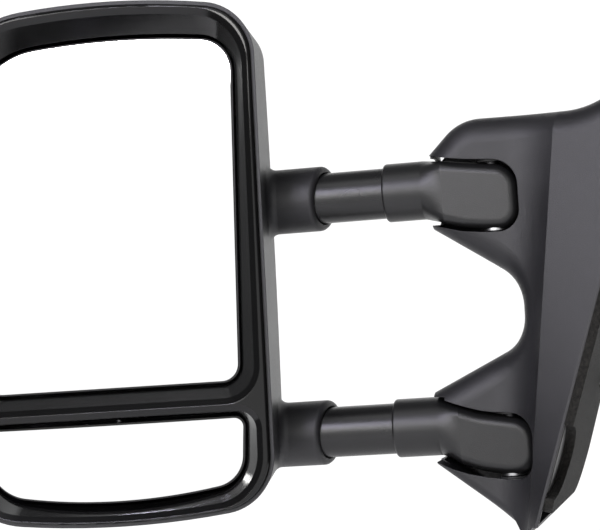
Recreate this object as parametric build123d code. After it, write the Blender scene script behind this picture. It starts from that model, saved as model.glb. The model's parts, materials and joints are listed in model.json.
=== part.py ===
"""Left-hand telescoping towing mirror: a door bracket, two folding arms and a sliding two-glass head.

Frame, in millimetres: the origin is the middle of the gasket face that meets the door.
+X points to the vehicle, -X outboard to the head, -Y to the rear (where the glass looks), +Z up.
"""

from build123d import *
from math import cos, radians, sin, tan
import os

OUT = "parts"

# --- driving dimensions ---------------------------------------------------------------
DOOR_LEAN = 18.5  # the door leans inboard at the top, in degrees
PIVOT_X, PIVOT_Y = -76.0, -9.0  # the vertical fold axis, nearer the slots than the tubes are
ARM_Z = 81.5  # the upper arm's height; the lower arm is as far below the origin

TUBE_R = 17.5
TUBE_WALL = 2.0
TUBE_INNER_END = -127.0
TUBE_OUTER_END = -356.0

SLEEVE_R = 20.2
SLEEVE_LIP_R = 2.0
SLEEVE_ROOT_X = -125.0  # where the round sleeve starts to turn into the flat-sided root
ROOT_X = -110.0  # where the root reaches its full section
ROOT_REAR, ROOT_FRONT = -21.0, 20.8
ROOT_EDGE_R = 7.0
ROOT_SWING_R = 29.8  # the reach that its front inboard corner keeps to, so it clears the base when folding

SPRING_POCKET = 22.0
SPRING_POCKET_R = 8.8
SET_SCREW_R = 2.5

PIN_R = 5.0
PIN_RUN = 0.05  # radial running clearance of the fold pins

SHELL_WALL = 2.8
SHELL_REAR = -60.0
SHELL_FRONT = 42.0
SHELL_TAPER = 9.0
DOME_R = 900.0  # the gentle dome of the head's front
COLLAR_R = 22.5
COLLAR_BORE_R = 19.6
COLLAR_LIP_R = 3.6  # the rounding of a collar's mouth, where its bore narrows
COLLAR_LIP_BORE_R = 18.3
COLLAR_LIP = 8.7  # how deep the narrower bore goes
COLLAR_SLANT = Vector(1, -0.22, -0.09)  # the direction a collar's mouth faces
COLLAR_FOOT_R = 6.0

LIP_Y = -64.0  # the rearmost face of the head
BEZEL_BACK_Y = -46.0
BEZEL_SKIN = 2.6
BEZEL_BEVEL = 4.6

GLASS_Y = -45.0  # the rear, silvered-through face of the flat glass
GLASS_T = 2.5
BACKING_T = 3.5
BACKING_RIM = 1.3
GIMBAL_Y = -28.0
GLASS_GAP = 3.5

HOUSING_WALL = 2.6
LOBE_HALF = 24.6  # half thickness of the base around the arm roots
GASKET_T = 6.0
BRACKET_T = 6.0
STUD_R = 4.0
STUD_SHOULDER_R = 4.8  # inside the bracket and gasket
STUD_OUT = 24.0  # stud length beyond the gasket

FRAME_Y = 21.0  # rear face of the head's inner frame
FRAME_T = 3.0

DOOR_NORMAL = Vector(cos(radians(DOOR_LEAN)), 0, -sin(radians(DOOR_LEAN)))
DOOR_SLOPE = Vector(sin(radians(DOOR_LEAN)), 0, cos(radians(DOOR_LEAN)))


class Arm:
    """The sizes that differ between the upper and the lower arm.

    The root and slot outlines are points in X and Z, as seen from the rear, each with its corner radius.
    """

    def __init__(self, name, z, hub_low, hub_high, sleeve_end, collar_mouth, lobe_mouth, root, slot):
        self.name = name
        self.z = z
        self.hub_low = hub_low
        self.hub_high = hub_high
        self.sleeve_end = sleeve_end
        self.collar_mouth = collar_mouth
        self.lobe_mouth = lobe_mouth
        self.root = root
        self.slot = slot


UPPER_ROOT = [
    (ROOT_X, 100.2, 0), (-58.2, 93.0, 17), (-58.2, 50.0, 14), (-84, 51.4, 60), (-98, 53.6, 60), (ROOT_X, 57.3, 0),
]
LOWER_ROOT = [
    (ROOT_X, -68.0, 0), (-97, -72.7, 60), (-58.2, -79.8, 17), (-58.2, -117.2, 14), (-80, -115.8, 60),
    (-98, -112.2, 50), (ROOT_X, -107.6, 0),
]
UPPER_SLOT = [
    (-57.3, 97.0, 18), (-76, 98.5, 0), (-93, 99.9, 0), (-106, 101.9, 0), (-121, 104.9, 0), (-150, 108, 0),
    (-150, 56, 0), (-127, 58.4, 0), (-118.5, 56.7, 0), (-110, 54.4, 0), (-98, 51.2, 0), (-84, 49.6, 0),
    (-57.3, 48.4, 15),
]
LOWER_SLOT = [
    (-57.3, -74.8, 18), (-76, -72.9, 0), (-86, -72.3, 0), (-94, -70.8, 0), (-104, -67.9, 0), (-119.8, -62.3, 0),
    (-128, -59.6, 0), (-150, -56, 0), (-150, -103, 0), (-127, -104.0, 0), (-121, -107.2, 0), (-116, -109.6, 0),
    (-104.4, -113.6, 0), (-92, -116.4, 0), (-80, -118.0, 0), (-57.3, -119.0, 15),
]

ARMS = (
    Arm("upper", ARM_Z, 51.0, 95.0, -152.0, -195.4, (56.8, 102.6), UPPER_ROOT, UPPER_SLOT),
    Arm("lower", -ARM_Z, -116.0, -76.8, -157.0, -204.0, (-103.6, -60.4), LOWER_ROOT, LOWER_SLOT),
)

# Each head outline is four corners (upper inboard, lower inboard, lower outboard, upper outboard) in X and Z,
# the bow of the top, inboard, bottom and outboard side, and the four corner radii in the same order.
SHELL_OUTLINE = (
    [(-223, 213), (-231.5, -122.5), (-470, -122.5), (-465.5, 214)],
    (13.5, 0, 11.2, 0),
    (38, 40, 60, 84),
)
MAIN_LIP = (
    [(-231.5, 206), (-240.5, -49.5), (-458, -49.5), (-453.5, 206)],
    (11.2, 0, 0, 0),
    (36, 22, 24, 72),
)
MAIN_GLASS = (
    [(-244.5, 192.5), (-256, -38.8), (-441.5, -38.8), (-438, 192.5)],
    (8.2, 0, 0, 0),
    (22, 12, 14, 57),
)
SPOTTER_LIP = (
    [(-240.8, -58.6), (-243, -116.5), (-458, -116.5), (-457.5, -58.6)],
    (0, 0, 9.0, 0),
    (13, 34, 46, 13),
)
SPOTTER_GLASS = (
    [(-254.5, -64.5), (-258, -107.2), (-443.5, -107.2), (-443, -64.5)],
    (0, 0, 9.6, 0),
    (6, 22, 32, 9),
)
SPOTTER_RADIUS = 700.0  # the convex glass's radius

MAIN_CENTRE = (-345.0, ARM_Z)
SPOTTER_CENTRE = (-349.0, -ARM_Z)


# --- helpers ----------------------------------------------------------------------------
def bowed_side(a, b, bow, inside):
    """A side from a to b: straight, or an arc whose middle stands `bow` off the chord, away from `inside`."""
    start, end = Vector(*a), Vector(*b)
    if not bow:
        return Line(start, end)
    middle = (start + end) / 2
    along = end - start
    across = Vector(-along.Y, along.X).normalized()
    if across.dot(middle - inside) < 0:
        across = across * -1
    return ThreePointArc(start, middle + across * bow, end)


def outline(shape, grow=0.0):
    """The flat face of a four-sided outline with bowed sides and rounded corners, in its own plane."""
    corners, bows, radii = shape
    inside = sum((Vector(*c) for c in corners), Vector()) / len(corners)
    pairs = zip(corners, corners[1:] + corners[:1])
    # corners run clockwise from the upper inboard one, so the sides are inboard, bottom, outboard, top
    order = (bows[1], bows[2], bows[3], bows[0])
    sides = [bowed_side(a, b, bow, inside) for (a, b), bow in zip(pairs, order)]
    face = make_face(Wire(sides))
    for corner, radius in zip(corners, radii):
        vertex = min(face.vertices(), key=lambda v: (Vector(*v) - Vector(*corner)).length)
        face = fillet(vertex, radius).faces()[0]
    if grow:
        face = offset(face, grow, kind=Kind.ARC).faces()[0]
    return face


def at_y(face, y):
    """Stands a flat outline upright in the XZ plane at a given Y, as seen from the rear."""
    return Plane((0, y, 0), x_dir=(1, 0, 0), z_dir=(0, -1, 0)) * face


def slab(face, y_low, y_high):
    """Extrudes an XZ outline between two Y values."""
    return extrude(at_y(face, y_high), y_high - y_low)


def cylinder_between(start, end, radius):
    """A cylinder from one point to another."""
    a, b = Vector(*start), Vector(*end)
    plane = Plane(a, z_dir=(b - a).normalized())
    return plane * Cylinder(radius, (b - a).length, align=(Align.CENTER, Align.CENTER, Align.MIN))


def ring_between(start, end, outer, inner):
    """A tube wall from one point to another."""
    a, b = Vector(*start), Vector(*end)
    reach = (b - a).normalized()
    return cylinder_between(a, b, outer) - cylinder_between(a - reach, b + reach, inner)


def box_between(low, high):
    """A box from its lowest to its highest corner."""
    size = [h - l for l, h in zip(low, high)]
    return Pos(*low) * Box(*size, align=(Align.MIN, Align.MIN, Align.MIN))


def rounded(shape, edges, radius):
    """Fillets the edges if the kernel can, trying smaller radii before leaving them sharp."""
    for share in (1.0, 0.7, 0.45, 0.25):
        try:
            made = fillet(edges, radius * share)
            if made.is_valid and made.volume > 0:
                return made
        except Exception:
            continue
    return shape


def door_plane(distance=0.0):
    """The plane parallel to the door, `distance` outboard of the gasket face: X forward, Y up the slope."""
    return Plane(DOOR_NORMAL * -distance, x_dir=(0, 1, 0), z_dir=DOOR_NORMAL)


def door_point(forward, up, distance=0.0):
    """A point given by its place on the door plane and its distance outboard of it."""
    return Vector(0, forward, 0) + DOOR_SLOPE * up - DOOR_NORMAL * distance


def door_slab(face, near, far):
    """Extrudes an outline drawn on the door plane between two distances outboard of it."""
    return extrude(door_plane(far) * face, far - near)


def door_rod(place, near, far, radius):
    """A rod square to the door plane between two distances outboard of it."""
    return cylinder_between(door_point(*place, near), door_point(*place, far), radius)


def polygon(points, corner_radii):
    """A closed outline with some of its corners rounded."""
    face = make_face(Polyline(*points, close=True))
    for index, radius in corner_radii.items():
        corner = Vector(*points[index])
        vertex = min(face.vertices(), key=lambda v: (Vector(*v) - corner).length)
        face = fillet(vertex, radius).faces()[0]
    return face


# --- the base ---------------------------------------------------------------------------
BASE_LOW, BASE_HIGH = -146.0, 163.0  # the footprint's ends, measured up the door's slope
REAR_LOW, REAR_HIGH = 62.0, 44.0  # how far it reaches to the rear at those two ends
FRONT_LOW, FRONT_HIGH = 108.0, 50.0  # and to the front
BASE_BAND = 8.0  # the straight band along the door before the sides sweep in
BASE_SWEEP_R = (30.0, 220.0)  # the radius where the sides sweep into the lobes, at the loft's lower and upper ends
BASE_LOFT = (-185.0, 200.0)  # those two ends, measured up the door's slope
BASE_EDGE_R = 17.0
BASE_UNDERSIDE_R = 6.0  # the tighter rounding along the bottom of the lower lobe
MOUTH_FRONT = 21.2
LOBE_END = {"upper": -118.5, "lower": -126.5}
STUDS = ((-4.0, 118.0), (-8.0, 8.0), (62.0, -62.0))  # forward, up
HOUSING_SCREWS = ((6.0, 140.0), (-34.0, 20.0), (48.0, -80.0))


def door_outline(grow=0.0):
    """The base's footprint on the door: a sail that narrows upward along the windscreen pillar."""
    low, high = BASE_LOW, BASE_HIGH
    corners = [(-REAR_LOW, low), (FRONT_LOW, low), (FRONT_HIGH, high), (-REAR_HIGH, high)]
    face = polygon(corners, {0: 12, 1: 30, 2: 22, 3: 18})
    return offset(face, grow, kind=Kind.ARC).faces()[0] if grow else face


def base_contour(inset=0.0):
    """The base seen from the rear: a lobe round each arm root, the bay between them and a small solid toe."""
    high, low = LOBE_END["upper"], LOBE_END["lower"]
    points = [
        (90, 186), (-5, 126.3), (-96, 127.3), (high, 105), (high, 53.5), (-59.3, 14), (-59.3, -25.6),
        (low, -57.5), (low, -106),
        (-73.5, -148),
    ]
    if not inset:
        points += [(-70, -154.5), (-64.5, -154.5), (-60, -147.5)]
    points.append((90, -147.5))
    face = polygon(points, {1: 60, 2: 34, 5: 31, 6: 27})
    return offset(face, -inset, kind=Kind.ARC).faces()[0] if inset else face


def base_plan(up, inset):
    """The base seen along the door's slope: a wide band at the door that sweeps in to the lobes' width."""
    way = (up - BASE_LOFT[0]) / (BASE_LOFT[1] - BASE_LOFT[0])
    sweep_r = BASE_SWEEP_R[0] + way * (BASE_SWEEP_R[1] - BASE_SWEEP_R[0]) + inset
    share = (up - BASE_LOW) / (BASE_HIGH - BASE_LOW)
    rear = REAR_LOW + share * (REAR_HIGH - REAR_LOW) - inset
    front = FRONT_LOW + share * (FRONT_HIGH - FRONT_LOW) - inset
    band = BASE_BAND - 0.6 * inset
    waist = 54.3 + 0.246 * up - 0.7 * inset
    lobe = LOBE_HALF - inset
    points = [
        (-rear, -10), (-rear, band), (-lobe, waist), (-lobe, 260),
        (lobe, 260), (lobe, waist), (front, band), (front, -10),
    ]
    plane = Plane(DOOR_SLOPE * up, x_dir=(0, 1, 0), z_dir=Vector(0, 1, 0).cross(DOOR_NORMAL * -1))
    return plane * polygon(points, {2: sweep_r, 5: sweep_r})


def base_form(inset=0.0):
    """The base's outer form, or its hollow when inset by the wall, with the lobes' long edges rounded."""
    contour = base_contour(inset)
    sides = loft([base_plan(up, inset) for up in BASE_LOFT], ruled=True)
    body = slab(contour, -100, 140) & sides
    rim = contour.outer_wire()

    def long_edge(edge, side):
        """Whether an edge joins a contour wall to the rear (-1) or front (1) side."""
        if edge.center().Y * side <= 0 or edge.bounding_box().size.Y > 2 * lobe_width:
            return False
        if edge.bounding_box().size.X < 0.5 or edge.center().X > 50:
            return False
        return all(rim.distance_to(Vector((edge @ t).X, (edge @ t).Z, 0)) < 0.05 for t in (0.2, 0.5, 0.8))

    lobe_width = LOBE_HALF - inset - 0.5
    bands = ((-95, 90, BASE_EDGE_R), (90, 400, BASE_EDGE_R), (-400, -95, BASE_UNDERSIDE_R))
    for low, high, radius in bands:
        for side in (-1, 1):
            chain = [e for e in body.edges() if low < e.center().Z <= high and long_edge(e, side)]
            if low == -400:
                chain = [e for e in chain if e.center().X < -74]
            body = rounded(body, chain, radius - inset)
    return body


def outline_of(points):
    """An outline from points in X and Z with their corner radii."""
    return polygon([point[:2] for point in points], {i: point[2] for i, point in enumerate(points) if point[2]})


def lobe_mouth(arm):
    """The opening in a lobe's outboard end, rounded in front and open to the rear, where it runs into the slot."""
    low, high = arm.lobe_mouth
    corners = [(-60, low), (MOUTH_FRONT, low), (MOUTH_FRONT, high), (-60, high)]
    plane = Plane((LOBE_END[arm.name] - 10, 0, 0), x_dir=(0, 1, 0), z_dir=(1, 0, 0))
    return extrude(plane * polygon(corners, {1: 9, 2: 14}), 18)


def make_base_housing():
    """The outer cover of the base, open to the door, with a slot for each arm root."""
    hollow = base_form(HOUSING_WALL)
    for arm in ARMS:
        hollow += lobe_mouth(arm) + slab(outline_of(arm.slot), -60, -6)
    shell = base_form() - hollow
    shell -= door_slab(Rectangle(500, 500), -80, GASKET_T)
    bosses = base_form(HOUSING_WALL - 0.5)
    for place in HOUSING_SCREWS:
        shell += door_rod(place, PLATE_BACK, PLATE_BACK + 90, 4.5) & bosses
        shell -= door_rod(place, PLATE_BACK - 1, PLATE_BACK + 14, 2.2)
    return max(shell.solids(), key=lambda s: s.volume)


def make_door_gasket():
    """The foam pad between the base and the door, with a relief in its rear edge and the stud holes."""
    pad = door_slab(door_outline(1.5), 0, GASKET_T)
    pad -= door_slab(Pos(-60, -112) * Ellipse(44, 25), -1, GASKET_T + 1)
    for place in STUDS:
        pad -= door_rod(place, -2, GASKET_T + 2, STUD_R + 3)
    return pad


LUG_T = 5.0
LUG_NOSE_R = 10.5
BRACKET_WEB_X = -46.0
PLATE_FRONT = GASKET_T
PLATE_BACK = GASKET_T + BRACKET_T


def lug_heights(arm):
    """The lower and upper faces of the lugs below and above one arm's hub."""
    below = arm.hub_low - 2.8
    above = arm.hub_high + 3.5
    return (below - LUG_T, below), (above, above + LUG_T)


def make_base_bracket():
    """The cast carrier: a plate behind the gasket and two pairs of lugs for the fold pins."""
    fit = base_form(HOUSING_WALL + 0.4)
    plate = door_slab(door_outline(-9), PLATE_FRONT, PLATE_BACK) & fit
    keep = door_slab(Rectangle(600, 600), PLATE_BACK - 1, 300)
    lugs = []
    for arm in ARMS:
        for low, high in lug_heights(arm):
            nose = cylinder_between((PIVOT_X, PIVOT_Y, low), (PIVOT_X, PIVOT_Y, high), LUG_NOSE_R)
            arm_plate = box_between((PIVOT_X, PIVOT_Y - LUG_NOSE_R, low), (60, PIVOT_Y + LUG_NOSE_R, high))
            lugs.append((nose + arm_plate) & keep & fit)
    bracket = plate
    for lug in lugs:
        bracket += lug
    low, high = lug_heights(ARMS[1])[0][0], lug_heights(ARMS[0])[1][1]
    web = box_between((BRACKET_WEB_X, PIVOT_Y - 3, low), (60, PIVOT_Y + 3, high))
    bracket += web & keep & fit
    for arm in ARMS:
        for low, high in lug_heights(arm):
            bracket -= cylinder_between((PIVOT_X, PIVOT_Y, low - 1), (PIVOT_X, PIVOT_Y, high + 1), PIN_R + 2)
    for place in STUDS:
        bracket -= door_rod(place, 0, PLATE_BACK + 30, STUD_SHOULDER_R)
        bracket -= door_rod(place, PLATE_BACK, PLATE_BACK + 6, 8.5)
    for place in HOUSING_SCREWS:
        bracket -= door_rod(place, 0, PLATE_BACK + 5, 2.2)
        bracket -= door_rod(place, 0, PLATE_FRONT + 3, 4.6)
    return max(bracket.solids(), key=lambda s: s.volume)


def make_door_studs():
    """Three studs pressed into the bracket, each with a round head behind the plate."""
    studs = []
    for place in STUDS:
        shank = door_rod(place, -STUD_OUT, 0, STUD_R) + door_rod(place, 0, PLATE_BACK, STUD_SHOULDER_R)
        studs.append(shank + door_rod(place, PLATE_BACK, PLATE_BACK + 3.5, 8))
    return Compound(studs)


def make_housing_screws():
    """Screws that hold the housing to the bracket, put in from the door side under the gasket."""
    screws = []
    for place in HOUSING_SCREWS:
        shank = door_rod(place, PLATE_FRONT + 2.5, PLATE_BACK + 12, 2.2)
        screws.append(shank + door_rod(place, PLATE_FRONT + 0.5, PLATE_FRONT + 3, 4.2))
    return Compound(screws)


def make_pivot_bushes(arm):
    """Two flanged plastic bushes, one in each lug."""
    bushes = []
    for (low, high), step in zip(lug_heights(arm), (1.2, -1.2)):
        sleeve = ring_between((PIVOT_X, PIVOT_Y, low), (PIVOT_X, PIVOT_Y, high), PIN_R + 2, PIN_R + PIN_RUN)
        face = high if step > 0 else low
        edges = sorted((face, face + step))
        flange = ring_between((PIVOT_X, PIVOT_Y, edges[0]), (PIVOT_X, PIVOT_Y, edges[1]), 9.6, PIN_R + PIN_RUN)
        bushes.append(sleeve + flange)
    return Compound(bushes)


# --- the folding arms ---------------------------------------------------------------------
def root_block(arm):
    """The flat-faced inboard end of a root: its outline across the arm's width, with rounded long edges."""
    block = slab(outline_of(arm.root), ROOT_REAR, ROOT_FRONT)
    faces = (ROOT_REAR, ROOT_FRONT)
    rims = [e for e in block.edges() if e.bounding_box().size.Y < 0.01 and e.center().X > ROOT_X + 0.5]
    for y in faces:
        block = rounded(block, [e for e in rims if abs(e.center().Y - y) < 0.01], ROOT_EDGE_R)
        rims = [e for e in block.edges() if e.bounding_box().size.Y < 0.01 and e.center().X > ROOT_X + 0.5]
    corner = box_between((PIVOT_X, PIVOT_Y, -200), (0, 60, 200))
    return block - (corner - cylinder_between((PIVOT_X, PIVOT_Y, -210), (PIVOT_X, PIVOT_Y, 210), ROOT_SWING_R))


def make_arm_root(arm):
    """The cast root: a sleeve round the tube that turns into a flat-faced end on the fold axis."""
    sleeve = cylinder_between((arm.sleeve_end, 0, arm.z), (SLEEVE_ROOT_X, 0, arm.z), SLEEVE_R)
    mouth = min(sleeve.edges(), key=lambda e: e.center().X)
    sleeve = rounded(sleeve, [mouth], SLEEVE_LIP_R)
    round_end = Plane((SLEEVE_ROOT_X, 0, arm.z), x_dir=(0, 1, 0), z_dir=(1, 0, 0)) * Circle(SLEEVE_R)
    high, low = arm.root[0][1], arm.root[-1][1]
    middle = Plane((ROOT_X, (ROOT_REAR + ROOT_FRONT) / 2, (high + low) / 2), x_dir=(0, 1, 0), z_dir=(1, 0, 0))
    full_end = middle * RectangleRounded(ROOT_FRONT - ROOT_REAR, high - low, ROOT_EDGE_R)
    root = sleeve + (loft([round_end, full_end]) + root_block(arm))
    root -= cylinder_between((arm.sleeve_end - 5, 0, arm.z), (TUBE_INNER_END + 0.5, 0, arm.z), TUBE_R + 0.02)
    root -= cylinder_between((PIVOT_X, PIVOT_Y, arm.hub_low - 5), (PIVOT_X, PIVOT_Y, arm.hub_high + 5), PIN_R)
    pocket_top = arm.hub_low + SPRING_POCKET
    root -= cylinder_between((PIVOT_X, PIVOT_Y, arm.hub_low - 5), (PIVOT_X, PIVOT_Y, pocket_top), SPRING_POCKET_R)
    for x in set_screw_places(arm):
        root -= cylinder_between((x, TUBE_R - 1, arm.z), (x, SLEEVE_R + 2, arm.z), SET_SCREW_R)
    return root


def set_screw_places(arm):
    """Where along the sleeve its set screws stand."""
    return (arm.sleeve_end + 9, arm.sleeve_end + 18)


def make_tube(arm):
    """The telescoping steel tube, fixed in its root."""
    return ring_between((TUBE_OUTER_END, 0, arm.z), (TUBE_INNER_END, 0, arm.z), TUBE_R, TUBE_R - TUBE_WALL)


def make_tube_stop(arm):
    """The plug that ends the tube and stops the head from sliding off."""
    x = TUBE_OUTER_END
    disc = cylinder_between((x - 3, 0, arm.z), (x, 0, arm.z), TUBE_R + 1.1)
    plug = cylinder_between((x, 0, arm.z), (x + 9, 0, arm.z), TUBE_R - TUBE_WALL)
    return disc + plug


def make_fold_pin(arm):
    """The fold pin, pressed through the root's hub, with a thin head under the lower lug."""
    (below, _), (_, above) = lug_heights(arm)
    shaft = cylinder_between((PIVOT_X, PIVOT_Y, below - 0.3), (PIVOT_X, PIVOT_Y, above + 8), PIN_R)
    return shaft + cylinder_between((PIVOT_X, PIVOT_Y, below - 2.6), (PIVOT_X, PIVOT_Y, below - 0.3), 8)


def make_pin_nut(arm):
    """The hexagonal lock nut above the upper lug."""
    above = lug_heights(arm)[1][1]
    nut = Pos(PIVOT_X, PIVOT_Y, above + 0.4) * extrude(RegularPolygon(9.5, 6), 6)
    return nut - cylinder_between((PIVOT_X, PIVOT_Y, above - 2), (PIVOT_X, PIVOT_Y, above + 9), PIN_R)


def make_detent_spring(arm):
    """The coil spring inside the hub that holds the arm at its folded and open positions."""
    wire = 1.2
    low = arm.hub_low + 2.2
    turns = 5
    pitch = (SPRING_POCKET - 2.2 - 2 * wire - 0.4) / turns
    path = Helix(pitch, pitch * turns, 7.2)
    profile = Plane(path @ 0, z_dir=path % 0) * Circle(wire)
    coil = sweep(profile, path=path, is_frenet=True)
    return Pos(PIVOT_X, PIVOT_Y, low + wire) * coil


def make_detent_washer(arm):
    """The steel washer that the spring presses against the lower bush."""
    low = arm.hub_low - 0.7
    return ring_between((PIVOT_X, PIVOT_Y, low), (PIVOT_X, PIVOT_Y, low + 2.4), SPRING_POCKET_R - 0.2, PIN_R + PIN_RUN)


def make_root_set_screws():
    """Two set screws on the front of each root that pin the tubes."""
    screws = []
    for arm in ARMS:
        for x in set_screw_places(arm):
            screws.append(cylinder_between((x, TUBE_R, arm.z), (x, SLEEVE_R - 0.4, arm.z), SET_SCREW_R))
    return Compound(screws)


# --- the head -------------------------------------------------------------------------------
def tapered_form(inset, y_rear, y_front):
    """The head's outline, narrowing forward by the shell's taper and inset from its outer wall."""
    shrink = inset + (y_rear - SHELL_REAR) * tan(radians(SHELL_TAPER))
    plane = Plane((0, y_rear, 0), x_dir=(1, 0, 0), z_dir=(0, -1, 0))
    return extrude(plane * outline(SHELL_OUTLINE, -shrink), y_rear - y_front, taper=SHELL_TAPER)


def shell_form(inset, edge_radius):
    """The head's tapering, gently domed form, or its hollow when inset by the wall."""
    body = tapered_form(inset, SHELL_REAR, SHELL_FRONT)
    body = body & Pos(-350, SHELL_FRONT - inset - DOME_R, 46) * Sphere(DOME_R)
    body = max(body.solids(), key=lambda s: s.volume)
    front = [e for e in body.edges() if e.center().Y > SHELL_FRONT - 40]
    return rounded(body, front, edge_radius)


def collar_outer(arm):
    """The round collar on the head's inboard side, with a slanted mouth and a rounded lip."""
    mouth = arm.collar_mouth
    collar = cylinder_between((-262, 0, arm.z), (mouth + 16, 0, arm.z), COLLAR_R)
    base = (Align.CENTER, Align.CENTER, Align.MIN)
    collar -= Plane((mouth, 0, arm.z), z_dir=COLLAR_SLANT) * Box(120, 120, 60, align=base)
    lip = max(collar.edges(), key=lambda e: e.center().X)
    return rounded(collar, [lip], COLLAR_LIP_R)


def collar_foot(shape, arm):
    """The edges where a collar meets the head's side wall."""
    near = (-250, -215)
    edges = [e for e in shape.edges() if near[0] < e.center().X < near[1] and e.geom_type != GeomType.CIRCLE]
    axis_z = arm.z
    return [
        e for e in edges
        if all(abs(((e @ t).Y ** 2 + ((e @ t).Z - axis_z) ** 2) ** 0.5 - COLLAR_R) < 0.02 for t in (0.1, 0.5, 0.9))
        and e.bounding_box().size.Y + e.bounding_box().size.Z > 20
    ]


def make_head_shell():
    """The head's front shell with the two collars that run on the arms and the bosses for its frame."""
    outer = shell_form(0, 20)
    shell = outer
    for arm in ARMS:
        shell += collar_outer(arm)
        shell = rounded(shell, collar_foot(shell, arm), COLLAR_FOOT_R)
    shell -= shell_form(SHELL_WALL, 17.2)
    shell -= slab(outline(SHELL_OUTLINE, -SHELL_WALL), SHELL_REAR - 5, SHELL_REAR + 0.5)
    for arm in ARMS:
        shell -= cylinder_between((-275, 0, arm.z), (arm.collar_mouth - COLLAR_LIP, 0, arm.z), COLLAR_BORE_R)
        shell -= cylinder_between((-275, 0, arm.z), (-150, 0, arm.z), COLLAR_LIP_BORE_R)
    for x, z in FRAME_SCREWS:
        boss = cylinder_between((x, FRAME_Y + FRAME_T, z), (x, SHELL_FRONT, z), 5) & outer
        shell += boss
        shell -= cylinder_between((x, FRAME_Y, z), (x, FRAME_Y + FRAME_T + 5, z), 1.9)
    return max(shell.solids(), key=lambda s: s.volume)


def stepped_opening(lip, glass, grow=0.0):
    """The tapered hole from a bevelled lip down to the glass."""
    back = outline(glass, GLASS_GAP + grow)
    front = outline(lip, grow)
    bevel = outline(lip, BEZEL_BEVEL + grow)
    throat = loft([at_y(back, BEZEL_BACK_Y), at_y(front, LIP_Y + 2.4)], ruled=True)
    flare = loft([at_y(front, LIP_Y + 2.4), at_y(bevel, LIP_Y)], ruled=True)
    return throat, flare


def make_head_bezel():
    """The rear frame round both glasses, a thin moulding with a hollow back."""
    outer = tapered_form(SHELL_WALL + 0.3, LIP_Y, BEZEL_BACK_Y)
    edge = [e for e in outer.edges() if abs(e.center().Y - LIP_Y) < 0.01]
    outer = rounded(outer, edge, 2.0)
    hollow = tapered_form(SHELL_WALL + 0.3 + BEZEL_SKIN, LIP_Y + BEZEL_SKIN + 1.6, BEZEL_BACK_Y + 1)
    for lip, glass in ((MAIN_LIP, MAIN_GLASS), (SPOTTER_LIP, SPOTTER_GLASS)):
        throat, _ = stepped_opening(lip, glass, BEZEL_SKIN)
        tail = slab(outline(glass, GLASS_GAP + BEZEL_SKIN), BEZEL_BACK_Y - 0.01, BEZEL_BACK_Y + 2)
        hollow -= throat + tail
    bezel = outer - hollow
    for lip, glass in ((MAIN_LIP, MAIN_GLASS), (SPOTTER_LIP, SPOTTER_GLASS)):
        throat, flare = stepped_opening(lip, glass)
        bezel -= throat
        bezel -= flare
        bezel -= slab(outline(glass, GLASS_GAP), BEZEL_BACK_Y - 0.01, BEZEL_BACK_Y + 3)
    return max(bezel.solids(), key=lambda s: s.volume)


GIMBAL_SIZES = {"main": (26.0, 20.0), "spotter": (17.0, 12.0)}
POST_GAP = 2.5  # between a gimbal ring and the frame's posts
POST_T = 6.0
BLOCK_R = 24.0
INNER_BUSH_X = (-288.0, -272.0)
FRAME_SCREWS = ((-262, 150), (-390, 140), (-390, -60), (-264, -40))


def make_head_frame():
    """The inner frame: a plate ahead of the tubes, a block round each tube and posts for the glass pivots."""
    corners = [(-254, 160), (-254, -78), (-270, -98), (-380, -98), (-400, -78), (-400, 150), (-384, 166), (-262, 166)]
    frame = slab(make_face(Polyline(*corners, close=True)), FRAME_Y, FRAME_Y + FRAME_T)
    x, z = SPOTTER_CENTRE
    frame += box_between((x - 8, FRAME_Y, z - GIMBAL_SIZES["spotter"][0] - POST_GAP - POST_T), (x + 8, FRAME_Y + FRAME_T, z))
    for x, z, width, height in ((-300, 134, 56, 36), (-365, 5, 50, 64), (-300, 5, 44, 64)):
        frame -= Pos(x, FRAME_Y, z) * Box(width, 20, height)
    for arm in ARMS:
        low, high = INNER_BUSH_X
        block = cylinder_between((low, 0, arm.z), (high, 0, arm.z), BLOCK_R)
        web = box_between((low, 0, arm.z - 14), (high, FRAME_Y + 1, arm.z + 14))
        frame += block + web
    for name, (x, z) in (("main", MAIN_CENTRE), ("spotter", SPOTTER_CENTRE)):
        ring, _ = GIMBAL_SIZES[name]
        for side in (-1, 1):
            near, far = sorted((z + side * (ring + POST_GAP), z + side * (ring + POST_GAP + POST_T)))
            post = box_between((x - 7, GIMBAL_Y, near), (x + 7, FRAME_Y + 1, far))
            nose = cylinder_between((x, GIMBAL_Y, near), (x, GIMBAL_Y, far), 5.2)
            frame += post + nose
            frame -= cylinder_between((x, GIMBAL_Y, near - 3), (x, GIMBAL_Y, far + 3), 2.05)
    for arm in ARMS:
        low, high = INNER_BUSH_X
        frame -= cylinder_between((low - 1, 0, arm.z), (high + 1, 0, arm.z), TUBE_R + 3)
    for x, z in FRAME_SCREWS:
        frame -= cylinder_between((x, FRAME_Y - 5, z), (x, FRAME_Y + 10, z), 1.9)
    return frame


def make_collar_bush(arm):
    """The plastic bush just inside a collar."""
    return ring_between((arm.collar_mouth - 34, 0, arm.z), (arm.collar_mouth - 14, 0, arm.z), COLLAR_BORE_R, TUBE_R + 0.05)


def make_inner_bush(arm):
    """The plastic bush in a frame block."""
    low, high = INNER_BUSH_X
    return ring_between((low, 0, arm.z), (high, 0, arm.z), TUBE_R + 3, TUBE_R + 0.05)


def make_wiper_seal(arm):
    """The rubber ring that keeps grit out of a collar."""
    return ring_between((arm.collar_mouth - 13.5, 0, arm.z), (arm.collar_mouth - 9, 0, arm.z), COLLAR_BORE_R, TUBE_R + 0.08)


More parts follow.
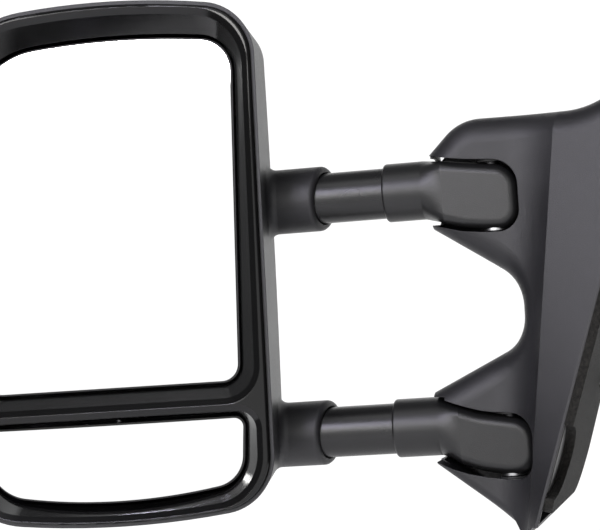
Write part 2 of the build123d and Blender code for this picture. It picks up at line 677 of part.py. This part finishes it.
def make_frame_screws():
    """The screws through the frame into the shell's bosses."""
    screws = []
    for x, z in FRAME_SCREWS:
        head = cylinder_between((x, FRAME_Y - 2.4, z), (x, FRAME_Y, z), 4)
        screws.append(head + cylinder_between((x, FRAME_Y, z), (x, FRAME_Y + FRAME_T + 4.5, z), 1.9))
    return Compound(screws)


# --- the glasses ------------------------------------------------------------------------------
def make_main_glass():
    """The flat mirror glass."""
    return slab(outline(MAIN_GLASS), GLASS_Y, GLASS_Y + GLASS_T)


def spotter_ball(y_edge):
    """The large sphere whose rear side passes through y_edge at the convex glass's ends."""
    sag = 95.0**2 / (2 * SPOTTER_RADIUS)
    return Pos(SPOTTER_CENTRE[0], y_edge - sag + SPOTTER_RADIUS, -90) * Sphere(SPOTTER_RADIUS)


def make_spotter_glass():
    """The convex wide-angle glass."""
    blank = slab(outline(SPOTTER_GLASS), GLASS_Y - 15, GLASS_Y + 15)
    return (blank & spotter_ball(GLASS_Y)) - spotter_ball(GLASS_Y + GLASS_T)


def backing_lugs(centre, ring):
    """The two ears on a backing plate that carry its tilt pins."""
    x, z = centre
    ears = []
    for side in (-1, 1):
        near, far = sorted((x + side * (ring + 1.5), x + side * (ring + 6.5)))
        ear = box_between((near, GLASS_Y + GLASS_T + BACKING_T - 1, z - 5), (far, GIMBAL_Y, z + 5))
        nose = cylinder_between((near, GIMBAL_Y, z), (far, GIMBAL_Y, z), 5)
        hole = cylinder_between((near - 2, GIMBAL_Y, z), (far + 2, GIMBAL_Y, z), 2.05)
        ears.append(ear + nose - hole)
    return ears


def make_main_backing():
    """The plastic plate that carries the flat glass, with a rim round it."""
    plate = slab(outline(MAIN_GLASS, BACKING_RIM), GLASS_Y + 1.0, GLASS_Y + GLASS_T + BACKING_T)
    plate -= slab(outline(MAIN_GLASS, 0.05), GLASS_Y - 1, GLASS_Y + GLASS_T)
    for ear in backing_lugs(MAIN_CENTRE, GIMBAL_SIZES["main"][0]):
        plate += ear
    return plate


def make_spotter_backing():
    """The plate under the convex glass: domed on its rear to match it, flat in front, with a rim."""
    front = GLASS_Y + GLASS_T + BACKING_T
    plate = slab(outline(SPOTTER_GLASS, BACKING_RIM), GLASS_Y - 15, front) & spotter_ball(GLASS_Y + 1.0)
    plate -= slab(outline(SPOTTER_GLASS, 0.05), GLASS_Y - 16, front - 0.5) - spotter_ball(GLASS_Y + GLASS_T)
    for ear in backing_lugs(SPOTTER_CENTRE, GIMBAL_SIZES["spotter"][0]):
        plate += ear
    return plate


def make_gimbal(name, centre):
    """The pivot ring between the frame's posts and a backing plate's ears."""
    outer, inner = GIMBAL_SIZES[name]
    x, z = centre
    ring = ring_between((x, GIMBAL_Y - 3, z), (x, GIMBAL_Y + 3, z), outer, inner)
    for side in (-1, 1):
        ring -= cylinder_between((x, GIMBAL_Y, z + side * (inner - 2)), (x, GIMBAL_Y, z + side * (outer + 2)), 2.0)
        ring -= cylinder_between((x + side * (inner - 2), GIMBAL_Y, z), (x + side * (outer + 2), GIMBAL_Y, z), 2.0)
    return ring


def make_pan_pins(name, centre):
    """The upright pins between the ring and the frame's posts."""
    outer, inner = GIMBAL_SIZES[name]
    x, z = centre
    return Compound([
        cylinder_between((x, GIMBAL_Y, z + side * inner), (x, GIMBAL_Y, z + side * (outer + POST_GAP + POST_T)), 2.0)
        for side in (-1, 1)
    ])


def make_tilt_pins(name, centre):
    """The level pins between the ring and a backing plate's ears."""
    outer, inner = GIMBAL_SIZES[name]
    x, z = centre
    return Compound([
        cylinder_between((x + side * inner, GIMBAL_Y, z), (x + side * (outer + 6.5), GIMBAL_Y, z), 2.0)
        for side in (-1, 1)
    ])


# --- write every node -----------------------------------------------------------------------
def build():
    nodes = {
        "base_housing": make_base_housing(),
        "base_bracket": make_base_bracket(),
        "door_gasket": make_door_gasket(),
        "door_studs": make_door_studs(),
        "housing_screws": make_housing_screws(),
        "root_set_screws": make_root_set_screws(),
        "head_shell": make_head_shell(),
        "head_bezel": make_head_bezel(),
        "head_frame": make_head_frame(),
        "frame_screws": make_frame_screws(),
        "main_glass": make_main_glass(),
        "main_backing": make_main_backing(),
        "spotter_glass": make_spotter_glass(),
        "spotter_backing": make_spotter_backing(),
    }
    for arm in ARMS:
        nodes[f"{arm.name}_arm_root"] = make_arm_root(arm)
        nodes[f"{arm.name}_tube"] = make_tube(arm)
        nodes[f"{arm.name}_tube_stop"] = make_tube_stop(arm)
        nodes[f"{arm.name}_fold_pin"] = make_fold_pin(arm)
        nodes[f"{arm.name}_pin_nut"] = make_pin_nut(arm)
        nodes[f"{arm.name}_detent_spring"] = make_detent_spring(arm)
        nodes[f"{arm.name}_detent_washer"] = make_detent_washer(arm)
        nodes[f"{arm.name}_pivot_bushes"] = make_pivot_bushes(arm)
        nodes[f"{arm.name}_collar_bush"] = make_collar_bush(arm)
        nodes[f"{arm.name}_inner_bush"] = make_inner_bush(arm)
        nodes[f"{arm.name}_wiper_seal"] = make_wiper_seal(arm)
    for name, centre in (("main", MAIN_CENTRE), ("spotter", SPOTTER_CENTRE)):
        nodes[f"{name}_gimbal_ring"] = make_gimbal(name, centre)
        nodes[f"{name}_pan_pins"] = make_pan_pins(name, centre)
        nodes[f"{name}_tilt_pins"] = make_tilt_pins(name, centre)
    return nodes


os.makedirs(OUT, exist_ok=True)
for node, shape in build().items():
    export_step(shape, os.path.join(OUT, f"{node}.step"))
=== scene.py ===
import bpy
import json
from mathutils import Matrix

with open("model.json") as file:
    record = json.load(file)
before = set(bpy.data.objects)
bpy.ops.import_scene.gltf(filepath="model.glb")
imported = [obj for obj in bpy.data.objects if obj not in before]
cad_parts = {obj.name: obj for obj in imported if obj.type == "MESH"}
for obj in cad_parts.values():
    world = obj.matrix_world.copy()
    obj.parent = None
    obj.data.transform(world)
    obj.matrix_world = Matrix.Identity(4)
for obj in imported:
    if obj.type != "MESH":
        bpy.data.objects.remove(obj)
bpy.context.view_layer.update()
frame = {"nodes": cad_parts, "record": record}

import json
import math

import bpy
from mathutils import Matrix, Vector

# --- camera ---------------------------------------------------------------------------------------
CAMERA_TARGET = Vector((-0.2174, 0.0, 0.0366))
CAMERA_AZIMUTH = math.radians(13.5)
CAMERA_ROLL = math.radians(4.3)
CAMERA_DISTANCE = 1.6
SENSOR_WIDTH = 36.0
FRAME_WIDTH = 0.420  # how much the frame spans at the target

# --- stage ----------------------------------------------------------------------------------------
FLOOR_CENTRE = (-0.2, 0, -0.34)
FLOOR_R = 0.8
FLOOR_SIDES = 96
FLOOR_TONES = ((0.84, 0.84, 0.84), (0.9, 0.9, 0.9))
FLOOR_GLOW = 0.4  # keeps the floor pale under the few lights
WORLD_STRENGTH = 1.08
# the room's brightness by how far a direction leans to the front or the rear: grey sides, white walls
WORLD_STOPS = ((0.0, (0.13, 0.13, 0.132)), (0.64, (0.15, 0.15, 0.152)), (0.82, (1, 1, 1)), (1.0, (1, 1, 1)))
# name: place, aim, size, power and colour
LIGHTS = {
    "sky": ((-0.35, -0.9, 1.6), (-0.2, 0, 0.05), (1.5, 0.6), 4, (1, 1, 1)),
    "front_strip": ((-0.75, -1.85, 0.42), (-0.2, 0, 0.03), (1.8, 0.2), 13, (1.0, 0.985, 0.965)),
    "left_box": ((-0.85, -1.75, 0.95), (-0.06, 0, 0.08), (0.4, 0.3), 16, (0.84, 0.81, 1.0)),
}

# --- finishes -------------------------------------------------------------------------------------
EDGE_ROUND = 0.0008  # how far the moulded and coated finishes soften an edge
DRIFT_SCALE = 22.0  # the slow change in colour and gloss over a moulded or coated surface
RAMP_ENDS = (0.3, 0.7)
STREAK_STRETCH = (1, 1, 18)
STREAK_DEPTH = 0.0001
# name: darkest and lightest colour, range of roughness, grain scale, grain depth, specular level
GRAINED = {
    "grained_plastic": ((0.012, 0.0118, 0.0135), (0.018, 0.0175, 0.02), (0.36, 0.44), 2600, 0.00016, 0.5),
    "gloss_black": ((0.002, 0.002, 0.0021), (0.003, 0.003, 0.0031), (0.1, 0.15), 1800, 0.00001, 0.4),
    "frame_plastic": ((0.02, 0.02, 0.02), (0.03, 0.03, 0.03), (0.5, 0.6), 1400, 0.0001, 0.4),
    "coated_casting": ((0.009, 0.009, 0.0093), (0.014, 0.014, 0.0144), (0.27, 0.34), 2200, 0.00012, 0.5),
    "coated_tube": ((0.007, 0.007, 0.0072), (0.011, 0.011, 0.0113), (0.24, 0.3), 2600, 0.00007, 0.5),
    "bush_plastic": ((0.03, 0.03, 0.03), (0.05, 0.05, 0.05), (0.35, 0.45), 900, 0.00004, 0.4),
    "seal_rubber": ((0.006, 0.006, 0.006), (0.012, 0.012, 0.012), (0.6, 0.75), 900, 0.0001, 0.3),
}
# name: darkest and lightest colour, range of roughness
BRUSHED = {
    "dark_steel": ((0.03, 0.03, 0.032), (0.06, 0.06, 0.062), (0.35, 0.5)),
    "zinc_steel": ((0.45, 0.45, 0.46), (0.65, 0.65, 0.66), (0.25, 0.4)),
    "spring_steel": ((0.05, 0.05, 0.055), (0.1, 0.1, 0.105), (0.35, 0.5)),
}
GLASS_TONES = ((0.93, 0.94, 0.94), (0.97, 0.975, 0.975))
# foam colour: darkest in the pits as painted shade, lighter brownish on the raised spots as a painted
# highlight
FOAM_SHADE_AND_SHEEN_TONES = ((0.003, 0.0028, 0.0025), (0.026, 0.024, 0.02))
FOAM_CREASES = 130.0
FOAM_PITS = 420.0
FOAM_DEPTH = 0.0035


def add_camera():
    """The camera at the photograph's angle: level, a little to the vehicle side, rolled by a few degrees."""
    data = bpy.data.cameras.new("camera")
    data.sensor_width = SENSOR_WIDTH
    data.lens = SENSOR_WIDTH * CAMERA_DISTANCE / FRAME_WIDTH
    camera = bpy.data.objects.new("camera", data)
    bpy.context.scene.collection.objects.link(camera)
    back = Vector((math.sin(CAMERA_AZIMUTH), -math.cos(CAMERA_AZIMUTH), 0.0))
    level_right = Vector((math.cos(CAMERA_AZIMUTH), math.sin(CAMERA_AZIMUTH), 0.0))
    up = Vector((0, 0, 1))
    right = level_right * math.cos(CAMERA_ROLL) - up * math.sin(CAMERA_ROLL)
    top = level_right * math.sin(CAMERA_ROLL) + up * math.cos(CAMERA_ROLL)
    turn = Matrix((right, top, back)).transposed().to_4x4()
    camera.matrix_world = Matrix.Translation(CAMERA_TARGET + back * CAMERA_DISTANCE) @ turn
    bpy.context.scene.camera = camera


def add_area(name, place, aim, size, power, colour):
    """A soft rectangular light pointed at a spot."""
    data = bpy.data.lights.new(name, "AREA")
    data.shape = "RECTANGLE"
    data.size, data.size_y = size
    data.energy = power
    data.color = colour
    light = bpy.data.objects.new(name, data)
    bpy.context.scene.collection.objects.link(light)
    light.location = place
    light.rotation_mode = "QUATERNION"
    light.rotation_quaternion = (Vector(aim) - Vector(place)).to_track_quat("-Z", "Y")


def studio_world():
    """White walls behind and in front of the object, grey to its sides, above and below."""
    world = bpy.data.worlds.new("studio")
    world.use_nodes = True
    nodes, links = world.node_tree.nodes, world.node_tree.links
    place = nodes.new("ShaderNodeTexCoord")
    split = nodes.new("ShaderNodeSeparateXYZ")
    links.new(place.outputs["Generated"], split.inputs["Vector"])
    lean = nodes.new("ShaderNodeMath")
    lean.operation = "ABSOLUTE"
    links.new(split.outputs["Y"], lean.inputs[0])
    walls = colour_ramp(nodes, WORLD_STOPS)
    links.new(lean.outputs[0], walls.inputs["Fac"])
    links.new(walls.outputs["Color"], nodes["Background"].inputs["Color"])
    nodes["Background"].inputs["Strength"].default_value = WORLD_STRENGTH
    return world


def add_floor():
    """The plain pale floor, with the faintest mottle."""
    bpy.ops.mesh.primitive_circle_add(
        vertices=FLOOR_SIDES, radius=FLOOR_R, fill_type="NGON", location=FLOOR_CENTRE)
    floor = bpy.context.object
    floor.name = "floor"
    material, nodes, links, shader = new_material("pale_floor")
    shader.inputs["Roughness"].default_value = 0.7
    shader.inputs["Emission Color"].default_value = (1, 1, 1, 1)
    shader.inputs["Emission Strength"].default_value = FLOOR_GLOW
    mottle = noise(nodes, links, 6.0, 3)
    tinted(nodes, links, shader, mottle, FLOOR_TONES, (0.0, 1.0))
    floor.data.materials.append(material)


def add_stage():
    """The world, the soft lights and the floor."""
    scene = bpy.context.scene
    scene.view_settings.view_transform = "Standard"
    scene.world = studio_world()
    for name, light in LIGHTS.items():
        add_area(name, *light)
    add_floor()


def new_material(name):
    """An empty node material and its principled shader."""
    material = bpy.data.materials.new(name)
    material.use_nodes = True
    nodes, links = material.node_tree.nodes, material.node_tree.links
    return material, nodes, links, nodes["Principled BSDF"]


def noise(nodes, links, scale, detail, roughness=0.5, stretch=(1, 1, 1)):
    """Noise in object coordinates, which are the shared frame in metres."""
    place = nodes.new("ShaderNodeTexCoord")
    mapping = nodes.new("ShaderNodeMapping")
    mapping.inputs["Scale"].default_value = stretch
    links.new(place.outputs["Object"], mapping.inputs["Vector"])
    texture = nodes.new("ShaderNodeTexNoise")
    texture.inputs["Scale"].default_value = scale
    texture.inputs["Detail"].default_value = detail
    texture.inputs["Roughness"].default_value = roughness
    links.new(mapping.outputs["Vector"], texture.inputs["Vector"])
    return texture.outputs["Fac"]


def colour_ramp(nodes, stops):
    """A colour ramp with (position, rgb) stops."""
    ramp = nodes.new("ShaderNodeValToRGB")
    elements = ramp.color_ramp.elements
    while len(elements) < len(stops):
        elements.new(1.0)
    for element, (position, rgb) in zip(elements, stops):
        element.position = position
        element.color = (*rgb, 1)
    return ramp


def tinted(nodes, links, shader, source, tones, ends=RAMP_ENDS):
    """Colours a shader between two tones by a 0 to 1 value."""
    ramp = colour_ramp(nodes, tuple(zip(ends, tones)))
    links.new(source, ramp.inputs["Fac"])
    links.new(ramp.outputs["Color"], shader.inputs["Base Color"])


def glossed(nodes, links, shader, source, smoothest, roughest):
    """Varies a shader's roughness by a 0 to 1 value."""
    node = nodes.new("ShaderNodeMapRange")
    node.inputs["To Min"].default_value = smoothest
    node.inputs["To Max"].default_value = roughest
    links.new(source, node.inputs["Value"])
    links.new(node.outputs["Result"], shader.inputs["Roughness"])


def bumped(nodes, links, shader, height, strength, distance, edge_round=0.0):
    """Feeds a height into the shader's normal, over softened edges when edge_round is given."""
    bump = nodes.new("ShaderNodeBump")
    if edge_round:
        soft = nodes.new("ShaderNodeBevel")
        soft.samples = 6
        soft.inputs["Radius"].default_value = edge_round
        links.new(soft.outputs["Normal"], bump.inputs["Normal"])
    bump.inputs["Strength"].default_value = strength
    bump.inputs["Distance"].default_value = distance
    links.new(height, bump.inputs["Height"])
    links.new(bump.outputs["Normal"], shader.inputs["Normal"])


def grained(name, dark, light, roughness, grain_scale, grain_depth, specular):
    """A moulded or coated surface: fine grain in the normal, slow drift in colour and gloss."""
    material, nodes, links, shader = new_material(name)
    shader.inputs["Specular IOR Level"].default_value = specular
    drift = noise(nodes, links, DRIFT_SCALE, 3)
    tinted(nodes, links, shader, drift, (dark, light))
    glossed(nodes, links, shader, drift, *roughness)
    grain = noise(nodes, links, grain_scale, 2, 0.6)
    bumped(nodes, links, shader, grain, 1.0, grain_depth, EDGE_ROUND)
    return material


def brushed_metal(name, dark, light, roughness):
    """Plated or machined metal with a directional grain."""
    material, nodes, links, shader = new_material(name)
    shader.inputs["Metallic"].default_value = 1.0
    streak = noise(nodes, links, 160.0, 3, 0.6, STREAK_STRETCH)
    tinted(nodes, links, shader, streak, (dark, light))
    glossed(nodes, links, shader, streak, *roughness)
    bumped(nodes, links, shader, streak, 0.3, STREAK_DEPTH)
    return material


def mirror_glass(name):
    """A silvered glass with the faintest haze."""
    material, nodes, links, shader = new_material(name)
    shader.inputs["Metallic"].default_value = 1.0
    haze = noise(nodes, links, 9.0, 4)
    tinted(nodes, links, shader, haze, GLASS_TONES, (0.2, 0.8))
    glossed(nodes, links, shader, haze, 0.015, 0.04)
    return material


def wrinkled_foam(name):
    """Closed-cell foam skin: leathery pits and long creases, with painted shade darkening the pits and a
    painted brownish highlight on the raised spots.
    """
    material, nodes, links, shader = new_material(name)
    shader.inputs["Roughness"].default_value = 0.7
    shader.inputs["Specular IOR Level"].default_value = 0.35
    pits = noise(nodes, links, FOAM_PITS, 4, 0.65)
    # painted shade and highlight: the same pits that make the bump colour the hollows darker and the raised
    # spots lighter brownish
    tinted(nodes, links, shader, pits, FOAM_SHADE_AND_SHEEN_TONES)
    place = nodes.new("ShaderNodeTexCoord")
    cells = nodes.new("ShaderNodeTexVoronoi")
    cells.feature = "DISTANCE_TO_EDGE"
    cells.inputs["Scale"].default_value = FOAM_CREASES
    links.new(place.outputs["Object"], cells.inputs["Vector"])
    height = nodes.new("ShaderNodeMath")
    height.operation = "ADD"
    links.new(cells.outputs["Distance"], height.inputs[0])
    links.new(pits, height.inputs[1])
    bumped(nodes, links, shader, height.outputs[0], 1.0, FOAM_DEPTH)
    return material


def make_materials():
    """One material for each of the record's finishes."""
    materials = {name: grained(name, *finish) for name, finish in GRAINED.items()}
    materials.update({name: brushed_metal(name, *finish) for name, finish in BRUSHED.items()})
    materials["foam"] = wrinkled_foam("foam")
    materials["mirror"] = mirror_glass("mirror")
    return materials


def paint_nodes(materials):
    """Gives every carried CAD node its finish."""
    for entry in frame["record"]["subparts"]:
        node = frame["nodes"][entry["node"]]
        node.data.materials.clear()
        node.data.materials.append(materials[entry["material_slot"]])


paint_nodes(make_materials())
add_stage()
add_camera()

bpy.context.view_layer.update()
